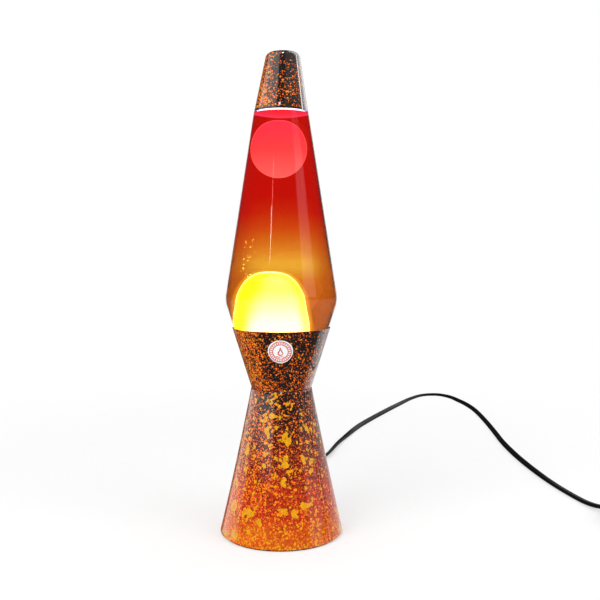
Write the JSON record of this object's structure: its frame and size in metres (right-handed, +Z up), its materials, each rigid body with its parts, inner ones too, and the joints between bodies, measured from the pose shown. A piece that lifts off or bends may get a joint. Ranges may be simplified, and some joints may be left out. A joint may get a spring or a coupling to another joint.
{
  "type": "lava lamp",
  "caption": "Lava lamp: hourglass metal base and cup, tapered bottle of orange-red liquid and wax that lifts out over a reflector bulb, loose cap, and mains cord with inline switch and plug.",
  "frame": {"origin": "centre of the lamp's foot, on the surface it stands on", "axes": "+Z up, -Y the front with the round sticker, +Y the back, where the cord leaves the base"},
  "size_m": [0.4784, 0.7198, 0.4],
  "materials": {
    "painted_shell": "glossy splatter print in dark, orange, yellow and red under clear lacquer",
    "black_foam": "matt foam rubber",
    "black_plate": "satin black",
    "steel": "zinc plated",
    "brass": "bright",
    "glass": "clear, polished",
    "liquid": "clear liquid, red above to orange below",
    "wax_yellow": "melted wax lit from below",
    "wax_pink": "melted wax",
    "white_label": "printed sticker",
    "black_plastic": "moulded black plastic",
    "brown_wire": "wire insulation",
    "blue_wire": "wire insulation"
  },
  "bodies": {
    "base": {"lower_cone": "painted_shell", "upper_cup": "painted_shell", "foot_ring": "black_foam", "base_plate": "black_plate", "plate_lug_1": "steel", "plate_lug_2": "steel", "plate_lug_3": "steel", "plate_screw_1": "steel", "plate_screw_2": "steel", "plate_screw_3": "steel", "lampholder_bracket": "steel", "bracket_screw_1": "steel", "bracket_screw_2": "steel", "nipple_nut": "steel", "waist_screw_1": "steel", "waist_screw_2": "steel", "waist_screw_3": "steel", "waist_nut_1": "steel", "waist_nut_2": "steel", "waist_nut_3": "steel", "cord_clip": "steel", "clip_screw": "steel", "switch_screw_1": "steel", "switch_screw_2": "steel", "lampholder_nipple": "brass", "lampholder_thread": "brass", "lampholder_contact": "brass", "terminal_screw_1": "brass", "terminal_screw_2": "brass", "plug_pin_1": "brass", "plug_pin_2": "brass", "badge": "white_label", "lampholder_body": "black_plastic", "strain_relief": "black_plastic", "inner_cord": "black_plastic", "mains_cord": "black_plastic", "cord_link": "black_plastic", "cord_tail": "black_plastic", "cord_coil": "black_plastic", "cord_tie": "black_plastic", "switch_lower": "black_plastic", "switch_upper": "black_plastic", "plug_body": "black_plastic", "live_wire": "brown_wire", "neutral_wire": "blue_wire"},
    "bottle": {"glass_bottle": "glass", "bottle_closure": "steel", "closure_liner": "black_plastic", "liquid": "liquid", "wax_pool": "wax_yellow", "wire_coil": "steel"},
    "cap": {"top_cap": "painted_shell"},
    "rising_wax": {"wax_blob": "wax_pink"},
    "bulb": {"bulb_glass": "glass", "bulb_screw_cap": "brass", "bulb_contact": "steel", "bulb_stem": "glass", "bulb_filament": "steel"},
    "rocker": {"switch_rocker": "black_plastic"}
  },
  "joints": [
    {"name": "bottle_lift", "type": "slide", "parent": "base", "child": "bottle", "axis": [0, 0, 1], "range_m": [0, 0.1]},
    {"name": "cap_lift", "type": "slide", "parent": "bottle", "child": "cap", "axis": [0, 0, 1], "range_m": [0, 0.05]},
    {"name": "wax_float", "type": "slide", "parent": "bottle", "child": "rising_wax", "axis": [0, 0, 1], "range_m": [-0.075, 0]},
    {"name": "bulb_unscrew", "type": "hinge", "parent": "base", "child": "bulb", "pos_m": [0, 0, 0.08], "axis": [0, 0, 1], "range_deg": [0, 1080]},
    {"name": "switch_rock", "type": "hinge", "parent": "base", "child": "rocker", "pos_m": [0.30596, -0.00458, 0.0141], "axis": [-0.9511, -0.309, 0], "range_deg": [0, 16]}
  ]
}
